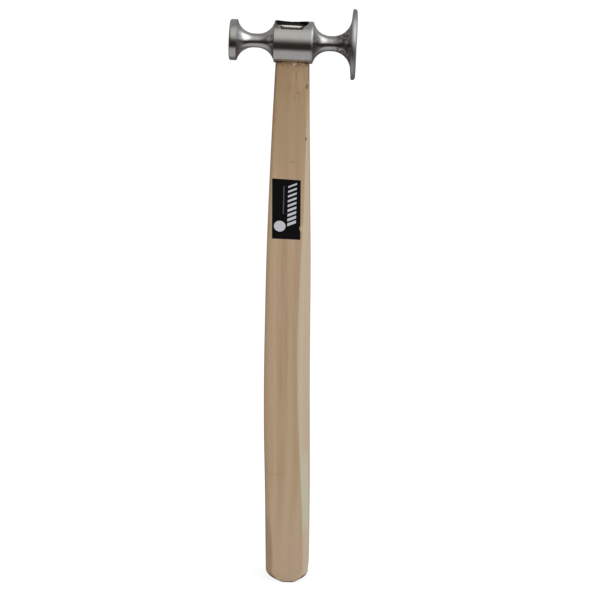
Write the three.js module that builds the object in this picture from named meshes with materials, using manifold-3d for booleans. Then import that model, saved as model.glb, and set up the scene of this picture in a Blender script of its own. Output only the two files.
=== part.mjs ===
// A light auto body hammer: a turned steel head with two round faces, wedged on a wooden handle.
// Millimetres. +Z runs up the handle and +X along the head towards its large face, and the front of
// the hammer looks along -Y. The origin is the middle of the small flat at the butt of the handle.
import * as THREE from 'three';
import { mergeVertices } from 'three/addons/utils/BufferGeometryUtils.js';
import Module from 'manifold-3d';

const wasm = await Module();
wasm.setup();

// Head: the barrel, measured from the axis of the eye.
const barrelDiameter = 25;
const barrelToSmallSide = 10.35;
const barrelToLargeSide = 12.55;
const barrelChamfer = 0.5;

// Head: the small end, with a low crown on its face.
const smallReach = 37.2;
const smallFaceDiameter = 24.3;
const smallCrownRadius = 160;
const smallRimWidth = 4.45;
const smallFrontRounding = 1.3;
const smallBackChamfer = 0.3;
const smallNeckDiameter = 8.3;
const smallNeckStraight = 1.9;

// Head: the large end, a thin flat disc on a flared neck.
const largeReach = 37.95;
const largeFaceDiameter = 41.8;
const largeRimThickness = 2.6;
const largeRimRounding = 0.9;
const largeBackTaperDegrees = 5;
const largeNeckDiameter = 9;
const largeNeckHollow = 9.8;
const largeNeckStraight = 1.4;

// Head: the oval eye, a little wider at the top so that the wedged tenon can't pull out.
const eyeLength = 18.7;
const eyeWidth = 13.2;
const eyeFlare = 0.4;

// Handle: the height of the head's axis, how far the handle bows back from its butt to its top, how
// far the eye then lies beyond the handle's own middle there, and the grip.
const axisHeight = 359.7;
const handleBow = 5.6;
const eyeBeyondHandle = 0.65;
const gripWidth = 28;
const gripDepth = 22;
const cornerWidth = 7.5;
const cornerRounding = 1.2;
const buttCrown = 8.2;
const buttFlatDrop = 0.35;
const buttEase = 1;
const tenonRoot = 6;
const tenonRecess = 0.85;

// Wedge, and the kerf that it is driven into.
const wedgeLength = 14.4;
const wedgeTopThickness = 2.5;
const wedgeTipThickness = 0.5;
const wedgeHeight = 19;
const wedgeProud = 0.5;
const wedgeOffset = 0.45;
const wedgeChamfer = 0.3;
const kerfBelowWedge = 3;

// Label on the front of the handle.
const labelWidth = 17.2;
const labelHeight = 38.6;
const labelBelowAxis = 83.7;
const labelOffset = 1.2;
const labelTiltDegrees = 0.5;
const labelThickness = 0.3;

// Fits: the gap between pieces that touch, and how far a cutting solid runs past what it cuts.
const fitGap = 0.3;
const cutOverrun = 2;

// Number of steps in the round and swept surfaces.
const latheSegments = 64;
const neckArcSteps = 7;
const edgeArcSteps = 3;
const crownSteps = 3;
const ovalSegments = 48;
const handleSteps = 30;
const buttArcSteps = 8;
const cornerSteps = 2;
const labelSteps = 6;

// The handle's shape from the butt up: the height of each station as a share of the axis height,
// how much of the bow it has, half the width and half the depth as shares of the grip's, and how
// much of the full corner width is taken off the corners on the small and the large face's side.
// The depth that is taken off is a share of that width.
const stationShares = [
  { height: 0.00, bow: 0.000, width: 0.950, depth: 0.97, smallSideCorner: 0.62, largeSideCorner: 0.42 },
  { height: 0.08, bow: 0.107, width: 0.972, depth: 0.99, smallSideCorner: 0.58, largeSideCorner: 0.47 },
  { height: 0.20, bow: 0.313, width: 0.988, depth: 1.00, smallSideCorner: 0.32, largeSideCorner: 0.70 },
  { height: 0.34, bow: 0.577, width: 1.000, depth: 1.00, smallSideCorner: 0.25, largeSideCorner: 0.96 },
  { height: 0.47, bow: 0.729, width: 0.982, depth: 0.98, smallSideCorner: 0.25, largeSideCorner: 0.96 },
  { height: 0.60, bow: 0.825, width: 0.950, depth: 0.94, smallSideCorner: 0.25, largeSideCorner: 0.86 },
  { height: 0.72, bow: 0.925, width: 0.882, depth: 0.88, smallSideCorner: 0.25, largeSideCorner: 0.53 },
  { height: 0.86, bow: 0.990, width: 0.780, depth: 0.79, smallSideCorner: 0.22, largeSideCorner: 0.29 },
  { height: 1.00, bow: 1.000, width: 0.670, depth: 0.68, smallSideCorner: 0.20, largeSideCorner: 0.20 },
];
const smallSideDepthShare = 0.45;
const largeSideDepthShare = 0.8;
const cornerReachShare = 0.4;

const barrelRadius = barrelDiameter / 2;
const eyeAxisX = -handleBow - eyeBeyondHandle;

// Boolean helpers: a closed geometry becomes a solid, and a solid becomes a geometry again.
function solidOf(geometry) {
  const bare = geometry.clone();
  bare.deleteAttribute('normal');
  bare.deleteAttribute('uv');
  const merged = mergeVertices(bare);
  const mesh = new wasm.Mesh({
    numProp: 3,
    vertProperties: new Float32Array(merged.attributes.position.array),
    triVerts: new Uint32Array(merged.index.array),
  });
  return new wasm.Manifold(mesh);
}

function geometryOf(solid) {
  const mesh = solid.getMesh();
  const geometry = new THREE.BufferGeometry();
  geometry.setAttribute('position', new THREE.BufferAttribute(new Float32Array(mesh.vertProperties), 3));
  geometry.setIndex(new THREE.BufferAttribute(new Uint32Array(mesh.triVerts), 1));
  geometry.computeVertexNormals();
  return geometry;
}

// Closed skin through a stack of rings, lowest first. Each ring is a list of [x, y, z] points that
// runs counterclockwise seen from above, and all rings have as many points.
function loft(rings) {
  const count = rings[0].length;
  const points = rings.flat(2);
  const faces = [];
  for (let level = 0; level + 1 < rings.length; level += 1) {
    for (let i = 0; i < count; i += 1) {
      const here = level * count + i;
      const next = level * count + ((i + 1) % count);
      faces.push(here, next, next + count, here, next + count, here + count);
    }
  }
  const top = (rings.length - 1) * count;
  for (let i = 1; i + 1 < count; i += 1) {
    faces.push(0, i + 1, i);
    faces.push(top, top + i, top + i + 1);
  }
  const geometry = new THREE.BufferGeometry();
  geometry.setAttribute('position', new THREE.Float32BufferAttribute(points, 3));
  geometry.setIndex(faces);
  geometry.computeVertexNormals();
  return geometry;
}

// Points of an arc in the profile plane, both ends included. Angles are in radians from +X.
function arc(centreX, centreY, radius, fromAngle, toAngle, steps) {
  const points = [];
  for (let i = 0; i <= steps; i += 1) {
    const angle = fromAngle + ((toAngle - fromAngle) * i) / steps;
    points.push([centreX + radius * Math.cos(angle), centreY + radius * Math.sin(angle)]);
  }
  return points;
}

// Head. Its outline is a list of [distance along the axis, radius], from the middle of the small
// face to the middle of the large one.
function smallFaceOutline() {
  const faceRadius = smallFaceDiameter / 2;
  const flatRadius = faceRadius - smallFrontRounding;
  const crownAngle = Math.asin(flatRadius / smallCrownRadius);
  const crown = arc(-smallReach + smallCrownRadius, 0, smallCrownRadius,
    Math.PI, Math.PI - crownAngle, crownSteps);
  const edgeX = -smallReach + smallCrownRadius * (1 - Math.cos(crownAngle));
  const rounding = arc(edgeX + smallFrontRounding, flatRadius, smallFrontRounding,
    Math.PI, Math.PI / 2, edgeArcSteps).slice(1);
  const backX = edgeX + smallRimWidth;
  const chamfer = [[backX - smallBackChamfer, faceRadius], [backX, faceRadius - smallBackChamfer]];
  return [...crown, ...rounding, ...chamfer];
}

// A waist between two shoulders of the outline: an arc down to the core, a straight stretch at
// the core, and an arc up again. Each arc meets the core without a corner.
function waistArc(shoulderX, shoulderRadius, coreX, coreRadius) {
  const run = Math.abs(coreX - shoulderX);
  const drop = shoulderRadius - coreRadius;
  const radius = (run * run + drop * drop) / (2 * drop);
  const sweep = Math.asin(Math.min(1, run / radius));
  const reach = drop > radius ? Math.PI - sweep : sweep;
  const side = Math.sign(shoulderX - coreX);
  return arc(coreX, coreRadius + radius, radius,
    -Math.PI / 2 + side * reach, -Math.PI / 2, neckArcSteps);
}

function smallNeckOutline(rimBackX, rimBackRadius) {
  const coreRadius = smallNeckDiameter / 2;
  const barrelX = -barrelToSmallSide;
  const middle = (rimBackX + barrelX) / 2;
  const fromRim = waistArc(rimBackX, rimBackRadius, middle - smallNeckStraight / 2, coreRadius);
  const toBarrel = waistArc(barrelX, barrelRadius - barrelChamfer,
    middle + smallNeckStraight / 2, coreRadius).reverse();
  return [...fromRim.slice(1), ...toBarrel];
}

function barrelOutline() {
  return [
    [-barrelToSmallSide + barrelChamfer, barrelRadius],
    [barrelToLargeSide - barrelChamfer, barrelRadius],
  ];
}

function largeNeckOutline() {
  const coreRadius = largeNeckDiameter / 2;
  const thinnestX = barrelToLargeSide + largeNeckHollow;
  const flareX = thinnestX + largeNeckStraight;
  const fromBarrel = waistArc(barrelToLargeSide, barrelRadius - barrelChamfer, thinnestX, coreRadius);
  const taper = THREE.MathUtils.degToRad(largeBackTaperDegrees);
  const rimBackRadius = largeFaceDiameter / 2 - largeRimRounding;
  const cornerX = largeReach - largeRimThickness - (rimBackRadius - coreRadius) * Math.tan(taper);
  const flareRadius = (cornerX - flareX) * Math.tan(Math.PI / 4 + taper / 2);
  const flare = arc(flareX, coreRadius + flareRadius, flareRadius,
    -Math.PI / 2, -taper, neckArcSteps + edgeArcSteps);
  return [...fromBarrel, ...flare];
}

function largeFaceOutline() {
  const edgeRadius = largeFaceDiameter / 2 - largeRimRounding;
  const backX = largeReach - largeRimThickness;
  const back = arc(backX + largeRimRounding, edgeRadius, largeRimRounding,
    Math.PI, Math.PI / 2, edgeArcSteps);
  const front = arc(largeReach - largeRimRounding, edgeRadius, largeRimRounding,
    Math.PI / 2, 0, edgeArcSteps);
  return [...back, ...front, [largeReach, 0]];
}

// Half the eye's length and width at a height above the head's axis, less a clearance.
function eyeHalves(height, clearance) {
  const flare = eyeFlare * Math.max(0, height / barrelRadius);
  return [eyeLength / 2 + flare - clearance, eyeWidth / 2 + flare - clearance];
}

function eyeRing(height, clearance) {
  const [halfLength, halfWidth] = eyeHalves(height, clearance);
  const ring = [];
  for (let i = 0; i < ovalSegments; i += 1) {
    const angle = (2 * Math.PI * i) / ovalSegments;
    ring.push([
      eyeAxisX + halfLength * Math.cos(angle),
      halfWidth * Math.sin(angle),
      axisHeight + height,
    ]);
  }
  return ring;
}

function headGeometry() {
  const small = smallFaceOutline();
  const [rimBackX, rimBackRadius] = small[small.length - 1];
  const outline = [
    ...small,
    ...smallNeckOutline(rimBackX, rimBackRadius),
    ...barrelOutline(),
    ...largeNeckOutline(),
    ...largeFaceOutline(),
  ];
  outline[0][1] = 0;
  const profile = outline.map(([along, radius]) => new THREE.Vector2(radius, along));
  const turned = new THREE.LatheGeometry(profile, latheSegments);
  turned.rotateZ(-Math.PI / 2);
  turned.translate(eyeAxisX, 0, axisHeight);
  const reach = barrelRadius + cutOverrun;
  const eye = loft([eyeRing(-reach, 0), eyeRing(0, 0), eyeRing(reach, 0)]);
  return geometryOf(solidOf(turned).subtract(solidOf(eye)));
}

// Handle. A smooth curve through the stations gives its section at any height.
const stationHeights = stationShares.map((station) => station.height * axisHeight);
const stationValues = stationShares.flatMap((station) => [
  -station.bow * handleBow,
  station.width * gripWidth / 2,
  station.depth * gripDepth / 2,
  station.smallSideCorner * cornerWidth,
  station.largeSideCorner * cornerWidth,
]);
const stationCurve = new THREE.CubicInterpolant(stationHeights, stationValues, 5);

function handleSection(height) {
  const [centreX, halfWidth, halfDepth, smallSideCorner, largeSideCorner] = stationCurve.evaluate(height);
  return { centreX, halfWidth, halfDepth, smallSideCorner, largeSideCorner };
}

// One ring of the handle: a rectangle with its corners planed off and each edge softened.
function handleRing(height, ringZ, widthScale, depthScale) {
  const section = handleSection(height);
  const { halfWidth, halfDepth, smallSideCorner, largeSideCorner } = section;
  const smallDepth = smallSideCorner * smallSideDepthShare;
  const largeDepth = largeSideCorner * largeSideDepthShare;
  const corners = [
    [-halfWidth + smallSideCorner, -halfDepth],
    [halfWidth - largeSideCorner, -halfDepth],
    [halfWidth, -halfDepth + largeDepth],
    [halfWidth, halfDepth - largeDepth],
    [halfWidth - largeSideCorner, halfDepth],
    [-halfWidth + smallSideCorner, halfDepth],
    [-halfWidth, halfDepth - smallDepth],
    [-halfWidth, -halfDepth + smallDepth],
  ].map(([x, y]) => new THREE.Vector2(x, y));
  const ring = [];
  corners.forEach((corner, i) => {
    const before = corners[(i + corners.length - 1) % corners.length];
    const after = corners[(i + 1) % corners.length];
    const toBefore = before.clone().sub(corner);
    const toAfter = after.clone().sub(corner);
    const reach = Math.min(cornerRounding, toBefore.length() * cornerReachShare,
      toAfter.length() * cornerReachShare);
    const curve = new THREE.QuadraticBezierCurve(
      corner.clone().add(toBefore.setLength(reach)),
      corner,
      corner.clone().add(toAfter.setLength(reach)),
    );
    for (const point of curve.getPoints(cornerSteps)) {
      ring.push([section.centreX + point.x * widthScale, point.y * depthScale, ringZ]);
    }
  });
  return ring;
}

// The butt is rounded like half an oval across its width, with a small flat at the bottom, and
// its front and back edges are eased.
function buttRings() {
  const flatAngle = Math.acos(1 - buttFlatDrop / buttCrown);
  const rings = [];
  for (let i = 0; i < buttArcSteps; i += 1) {
    const angle = flatAngle + ((Math.PI / 2 - flatAngle) * i) / buttArcSteps;
    const height = buttCrown * (1 - Math.cos(angle)) - buttFlatDrop;
    const easeLeft = Math.max(0, 1 - height / buttEase);
    const eased = buttEase * (1 - Math.sqrt(1 - easeLeft * easeLeft));
    const depthScale = 1 - eased / handleSection(0).halfDepth;
    rings.push(handleRing(height, height, Math.sin(angle), depthScale));
  }
  return rings;
}

// A prism along X, with its middle at middleX, from an outline of [y, z] points that runs
// counterclockwise seen from +X.
function prismAlongX(outline, middleX, halfLength) {
  const shape = new THREE.Shape(outline.map(([y, z]) => new THREE.Vector2(y, z)));
  const geometry = new THREE.ExtrudeGeometry(shape, { depth: 2 * halfLength, bevelEnabled: false });
  geometry.translate(0, 0, -halfLength);
  geometry.applyMatrix4(new THREE.Matrix4().makeBasis(
    new THREE.Vector3(0, 1, 0),
    new THREE.Vector3(0, 0, 1),
    new THREE.Vector3(1, 0, 0),
  ));
  geometry.translate(middleX, 0, 0);
  return geometry;
}

// Saw kerf: a slot down from the tenon's top, with the wedge's own taper, and a little deeper.
function kerfGeometry(tenonTop) {
  const wedgeTop = tenonTop + wedgeProud;
  const tipZ = wedgeTop - wedgeHeight;
  const slope = (wedgeTopThickness - wedgeTipThickness) / 2 / wedgeHeight;
  const top = wedgeTop + cutOverrun;
  const halfTip = wedgeTipThickness / 2 + fitGap;
  const halfTop = halfTip + slope * (top - tipZ);
  const bottom = tipZ - kerfBelowWedge;
  const side = [[halfTip, bottom], [halfTip, tipZ], [halfTop, top]];
  const halfLength = eyeLength / 2 + eyeFlare + cutOverrun;
  return prismAlongX([...side, ...side.map(([y, z]) => [-y, z]).reverse()], eyeAxisX, halfLength);
}

// The tenon ends below the lowest points of the eye's rim, at the middle of its long sides.
const rimHalfWidth = eyeHalves(barrelRadius, 0)[1];
const rimLowHeight = Math.sqrt(barrelRadius * barrelRadius - rimHalfWidth * rimHalfWidth);
const tenonHeight = rimLowHeight - tenonRecess;
const tenonTop = axisHeight + tenonHeight;

function handleGeometry() {
  const firstHeight = buttCrown - buttFlatDrop;
  const lastHeight = axisHeight - barrelRadius / 2;
  const rings = buttRings();
  for (let i = 0; i <= handleSteps; i += 1) {
    const height = firstHeight + ((lastHeight - firstHeight) * i) / handleSteps;
    rings.push(handleRing(height, height, 1, 1));
  }
  const seatRadius = barrelRadius + fitGap;
  const seatLength = barrelToSmallSide + barrelToLargeSide + 2 * cutOverrun;
  const seat = new THREE.CylinderGeometry(seatRadius, seatRadius, seatLength, latheSegments);
  seat.rotateZ(Math.PI / 2);
  seat.translate(eyeAxisX + (barrelToLargeSide - barrelToSmallSide) / 2, 0, axisHeight);
  const tenon = loft([
    eyeRing(-barrelRadius - tenonRoot, fitGap),
    eyeRing(0, fitGap),
    eyeRing(tenonHeight, fitGap),
  ]);
  const whole = solidOf(loft(rings)).subtract(solidOf(seat)).add(solidOf(tenon));
  return geometryOf(whole.subtract(solidOf(kerfGeometry(tenonTop))));
}

// Wedge: a flat taper with its struck edge chamfered, standing a little proud of the end grain, and
// driven in a little nearer the small face's end of the eye.
function wedgeGeometry() {
  const top = tenonTop + wedgeProud;
  const halfTop = wedgeTopThickness / 2;
  const halfTip = wedgeTipThickness / 2;
  const side = [
    [halfTip, top - wedgeHeight],
    [halfTop, top - wedgeChamfer],
    [halfTop - wedgeChamfer, top],
  ];
  const outline = [...side, ...side.map(([y, z]) => [-y, z]).reverse()];
  return prismAlongX(outline, eyeAxisX - wedgeOffset, wedgeLength / 2);
}

// Label: a thin sheet that follows the front of the handle down its length.
function labelGeometry() {
  const tilt = Math.tan(THREE.MathUtils.degToRad(labelTiltDegrees));
  const topZ = axisHeight - labelBelowAxis;
  const rings = [];
  for (let i = 0; i <= labelSteps; i += 1) {
    const z = topZ - labelHeight + (labelHeight * i) / labelSteps;
    const section = handleSection(z);
    const middleX = section.centreX - labelOffset - tilt * (z - topZ + labelHeight / 2);
    const backY = -section.halfDepth - fitGap;
    const frontY = backY - labelThickness;
    rings.push([
      [middleX - labelWidth / 2, frontY, z],
      [middleX + labelWidth / 2, frontY, z],
      [middleX + labelWidth / 2, backY, z],
      [middleX - labelWidth / 2, backY, z],
    ]);
  }
  return loft(rings);
}

const steel = new THREE.MeshStandardMaterial({ color: 0xa8a8a4, roughness: 0.28, metalness: 1 });
const wedgeSteel = new THREE.MeshStandardMaterial({ color: 0xc6c5be, roughness: 0.4, metalness: 1 });
const wood = new THREE.MeshStandardMaterial({ color: 0xb59c7c, roughness: 0.7, metalness: 0 });
const stickerBlack = new THREE.MeshStandardMaterial({ color: 0x111114, roughness: 0.35, metalness: 0 });

function piece(name, geometry, material) {
  const mesh = new THREE.Mesh(geometry, material);
  mesh.name = name;
  return mesh;
}

const hammer = new THREE.Group();
hammer.add(
  piece('head', headGeometry(), steel),
  piece('handle', handleGeometry(), wood),
  piece('wedge', wedgeGeometry(), wedgeSteel),
  piece('label', labelGeometry(), stickerBlack),
);

export default hammer;
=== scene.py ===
# A light auto body hammer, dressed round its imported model: a polished steel head with two round
# faces, wedged on a pale wooden handle with planed corners and a small black sticker.
# Lengths are written in millimetres and multiplied by mm, because the scene is in metres.
import math

import bmesh
import bpy
from mathutils import Matrix, Vector, noise


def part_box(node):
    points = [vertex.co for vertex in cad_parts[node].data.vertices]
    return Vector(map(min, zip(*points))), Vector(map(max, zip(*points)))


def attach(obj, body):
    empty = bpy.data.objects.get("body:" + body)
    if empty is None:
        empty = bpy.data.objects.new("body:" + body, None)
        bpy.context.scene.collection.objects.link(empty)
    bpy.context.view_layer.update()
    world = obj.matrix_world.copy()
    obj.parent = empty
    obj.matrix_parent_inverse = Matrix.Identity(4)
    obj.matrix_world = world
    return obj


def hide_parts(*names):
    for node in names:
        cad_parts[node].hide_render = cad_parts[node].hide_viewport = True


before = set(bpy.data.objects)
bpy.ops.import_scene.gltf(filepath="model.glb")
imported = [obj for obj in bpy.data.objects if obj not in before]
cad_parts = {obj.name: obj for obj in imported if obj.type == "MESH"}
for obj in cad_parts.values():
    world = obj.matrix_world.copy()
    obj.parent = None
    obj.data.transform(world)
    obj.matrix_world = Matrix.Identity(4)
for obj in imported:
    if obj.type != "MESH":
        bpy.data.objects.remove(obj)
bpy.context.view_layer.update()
mm = 0.001


# Head. One forging of tool steel, turned all over and polished: a small face with a low crown, a
# waisted neck, the plain barrel, a second neck, and a wide thin flat face. An oval eye goes
# through the barrel from top to bottom for the handle, a little wider at both ends.
head_low, head_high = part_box("head")
wedge_low, wedge_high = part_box("wedge")
wedge_offset = 0.45 * mm
eye_x = (wedge_low.x + wedge_high.x) / 2 + wedge_offset
axis_z = (head_low.z + head_high.z) / 2
small_reach = eye_x - head_low.x
large_reach = head_high.x - eye_x
large_face_radius = (head_high.z - head_low.z) / 2

barrel_radius = 12.5 * mm
barrel_to_small_side = 10.35 * mm
barrel_to_large_side = 12.55 * mm
small_side_edge_drop = 0.2 * mm
small_side_edge_length = 0.15 * mm
large_side_edge_drop = 0.5 * mm
large_side_edge_length = 1.05 * mm
small_face_radius = 12.15 * mm
small_crown_radius = 160 * mm
small_rim_width = 4.45 * mm
small_front_rounding = 1.3 * mm
small_back_rounding = 0.12 * mm
small_neck_radius = 4.15 * mm
small_neck_straight = 1.9 * mm
large_rim_thickness = 2.6 * mm
large_rim_rounding = 0.9 * mm
large_face_rounding = 1.5 * mm
large_back_taper = math.radians(5)
large_neck_radius = 4.5 * mm
large_neck_hollow = 9.8 * mm
large_neck_straight = 1.4 * mm
eye_half_length = 9.35 * mm
eye_half_width = 6.6 * mm
eye_flare = 0.4 * mm
eye_rim_rounding = 0.3 * mm
turning_steps = 192
outline_step = 0.35 * mm


def arc(along, radius, size, from_angle, to_angle, steps=16):
    """Points of a round stretch of the outline, as distances along the axis and radii."""
    angles = [from_angle + (to_angle - from_angle) * i / steps for i in range(steps + 1)]
    return [(along + size * math.cos(a), radius + size * math.sin(a)) for a in angles]


def barrel_edge(shoulder, length, drop):
    """The eased edge between a shoulder and the barrel, which lies that length along the axis."""
    steps = 8
    return [
        (shoulder + length * (1 - math.cos(math.pi / 2 * i / steps)),
         barrel_radius - drop * (1 - math.sin(math.pi / 2 * i / steps)))
        for i in range(1, steps + 1)
    ]


def waist(shoulder, shoulder_radius, core, core_radius):
    """From a shoulder of the outline down to the thinnest part of a neck, met smoothly."""
    run = abs(core - shoulder)
    drop = shoulder_radius - core_radius
    size = (run * run + drop * drop) / (2 * drop)
    sweep = math.asin(min(1, run / size))
    reach = math.pi - sweep if drop > size else sweep
    side = 1 if shoulder > core else -1
    return arc(core, core_radius + size, size, -math.pi / 2 + side * reach, -math.pi / 2, 40)


def small_end_outline():
    """The small face, its rim and its neck, as far as the barrel."""
    flat = small_face_radius - small_front_rounding
    crown = math.asin(flat / small_crown_radius)
    points = arc(small_crown_radius - small_reach, 0, small_crown_radius, math.pi, math.pi - crown)
    edge = points[-1][0]
    points += arc(edge + small_front_rounding, flat, small_front_rounding, math.pi, math.pi / 2)[1:]
    back = edge + small_rim_width
    points += arc(back - small_back_rounding, small_face_radius - small_back_rounding,
                  small_back_rounding, math.pi / 2, 0, 6)
    shoulder = -barrel_to_small_side
    middle = (back + shoulder) / 2
    shoulder_radius = barrel_radius - small_side_edge_drop
    points += waist(back, small_face_radius - small_back_rounding,
                    middle - small_neck_straight / 2, small_neck_radius)[1:]
    points += waist(shoulder, shoulder_radius,
                    middle + small_neck_straight / 2, small_neck_radius)[::-1]
    return points + barrel_edge(shoulder, small_side_edge_length, small_side_edge_drop)


def large_end_outline():
    """From the barrel along the other neck to the large face."""
    shoulder_radius = barrel_radius - large_side_edge_drop
    thinnest = barrel_to_large_side + large_neck_hollow
    flare_start = thinnest + large_neck_straight
    points = barrel_edge(barrel_to_large_side, -large_side_edge_length, large_side_edge_drop)[::-1]
    points += waist(barrel_to_large_side, shoulder_radius, thinnest, large_neck_radius)
    edge_radius = large_face_radius - large_rim_rounding
    back = large_reach - large_rim_thickness
    corner = back - (edge_radius - large_neck_radius) * math.tan(large_back_taper)
    flare = (corner - flare_start) * math.tan(math.pi / 4 + large_back_taper / 2)
    points += arc(flare_start, large_neck_radius + flare, flare, -math.pi / 2, -large_back_taper, 48)
    points += arc(back + large_rim_rounding, edge_radius, large_rim_rounding, math.pi, math.pi / 2)
    points += arc(large_reach - large_face_rounding, large_face_radius - large_face_rounding,
                  large_face_rounding, math.pi / 2, 0)
    return points + [(large_reach, 0)]


def fine_steps(points, step):
    """The same outline with its long stretches cut into short ones."""
    fine = [points[0]]
    for start, end in zip(points, points[1:]):
        pieces = max(1, round(math.dist(start, end) / step))
        fine += [
            tuple(a + (b - a) * i / pieces for a, b in zip(start, end)) for i in range(1, pieces + 1)
        ]
    return fine


def on_head(along, radius, angle):
    """A point of the head, with the angle taken about its axis from the top towards the back."""
    return Vector((eye_x + along, radius * math.sin(angle), axis_z + radius * math.cos(angle)))


def skin(mesh, rows, closed):
    """Faces between rows of vertices; a closed row's last vertex joins its first."""
    for lower, upper in zip(rows, rows[1:]):
        count = len(lower)
        for i in range(count if closed else count - 1):
            mesh.faces.new((lower[i], lower[(i + 1) % count], upper[(i + 1) % count], upper[i]))


def turned_end(mesh, outline):
    """Revolves one end's outline. A point on the axis closes it as a fan."""
    rows = []
    for along, radius in outline:
        if radius > 1e-6:
            rows.append([
                mesh.verts.new(on_head(along, radius, 2 * math.pi * i / turning_steps))
                for i in range(turning_steps)
            ])
    skin(mesh, rows, True)
    starts_on_axis = outline[0][1] < 1e-6
    face_row = rows[0] if starts_on_axis else rows[-1]
    centre = mesh.verts.new(on_head(outline[0 if starts_on_axis else -1][0], 0, 0))
    for i in range(turning_steps):
        mesh.faces.new((face_row[i], face_row[(i + 1) % turning_steps], centre))


def eye_at(height, turn):
    """Half sizes of the eye at a height, as a point of its oval."""
    flare = eye_flare * min(1, abs(height) / barrel_radius)
    return (
        (eye_half_length + flare) * math.cos(turn),
        (eye_half_width + flare) * math.sin(turn),
    )


def eyed_half(mesh, side):
    """Half the barrel's skin, with the eye in it. Side is 1 for the top, -1 for the bottom."""
    start = -barrel_to_small_side + small_side_edge_length
    end = barrel_to_large_side - large_side_edge_length
    half = turning_steps // 4
    length_steps = 56
    fan_steps = 22
    lip_steps = 5
    angles = [math.pi / 2 * i / half for i in range(-half, half + 1)]
    lengths = [start + (end - start) * i / length_steps for i in range(length_steps + 1)]
    border = [(start, a) for a in angles] + [(x, math.pi / 2) for x in lengths[1:]]
    border += [(end, a) for a in angles[-2::-1]] + [(x, -math.pi / 2) for x in lengths[-2:0:-1]]
    rows = [[] for _ in range(fan_steps + lip_steps + 1)]
    for along, angle in border:
        turn = math.atan2(barrel_radius * angle / eye_half_width, along / eye_half_length)
        rim_x, rim_y = eye_at(barrel_radius, turn)
        outward = Vector((math.cos(turn) * eye_half_width, math.sin(turn) * eye_half_length))
        outward.normalize()
        lip_x = rim_x + outward.x * eye_rim_rounding
        lip_angle = math.asin((rim_y + outward.y * eye_rim_rounding) / barrel_radius)
        for i in range(fan_steps + 1):
            share = 1 - (1 - i / fan_steps) ** 1.3
            rows[i].append((along + (lip_x - along) * share, angle + (lip_angle - angle) * share, 0))
        for i in range(1, lip_steps + 1):
            bend = math.pi / 2 * i / lip_steps
            inward = eye_rim_rounding * math.sin(bend)
            x = lip_x - outward.x * inward
            y = barrel_radius * math.sin(lip_angle) - outward.y * inward
            sunk = eye_rim_rounding * (1 - math.cos(bend))
            rows[fan_steps + i].append((x, math.asin(y / barrel_radius), sunk))
    made = []
    for row in rows:
        made.append([])
        for along, angle, depth in row:
            point = on_head(along, barrel_radius, angle) - Vector((0, 0, depth))
            point.z = axis_z + side * (point.z - axis_z)
            made[-1].append(mesh.verts.new(point))
    skin(mesh, made, True)
    return made[-1]


def head_mesh():
    mesh = bmesh.new()
    turned_end(mesh, fine_steps(small_end_outline(), outline_step))
    turned_end(mesh, fine_steps(large_end_outline(), outline_step))
    top = eyed_half(mesh, 1)
    bottom = eyed_half(mesh, -1)
    wall_steps = 24
    wall = [top]
    for level in range(1, wall_steps):
        row = []
        for upper, lower in zip(top, bottom):
            height = upper.co.z + (lower.co.z - upper.co.z) * level / wall_steps - axis_z
            turn = math.atan2(upper.co.y / eye_half_width, (upper.co.x - eye_x) / eye_half_length)
            x, y = eye_at(height, turn)
            row.append(mesh.verts.new((eye_x + x, y, axis_z + height)))
        wall.append(row)
    skin(mesh, wall + [bottom], True)
    bmesh.ops.remove_doubles(mesh, verts=mesh.verts, dist=0.001 * mm)
    bmesh.ops.recalc_face_normals(mesh, faces=mesh.faces)
    return mesh


def new_object(name, mesh, material, lie=Matrix()):
    """An object of one material, shaded smooth. Lie is its own frame."""
    data = bpy.data.meshes.new(name)
    mesh.transform(lie.inverted())
    mesh.to_mesh(data)
    mesh.free()
    data.shade_smooth()
    data.materials.append(material)
    made = bpy.data.objects.new(name, data)
    bpy.context.scene.collection.objects.link(made)
    made.matrix_world = lie
    return made


def new_piece(name, mesh, material, node, lie=Matrix()):
    """A piece of the hammer, sharp where faces meet steeply, that stands for a node of the model."""
    piece = new_object(name, mesh, material, lie)
    piece.data.set_sharp_from_angle(angle=math.radians(40))
    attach(piece, "root")
    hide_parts(node)
    return piece


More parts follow.
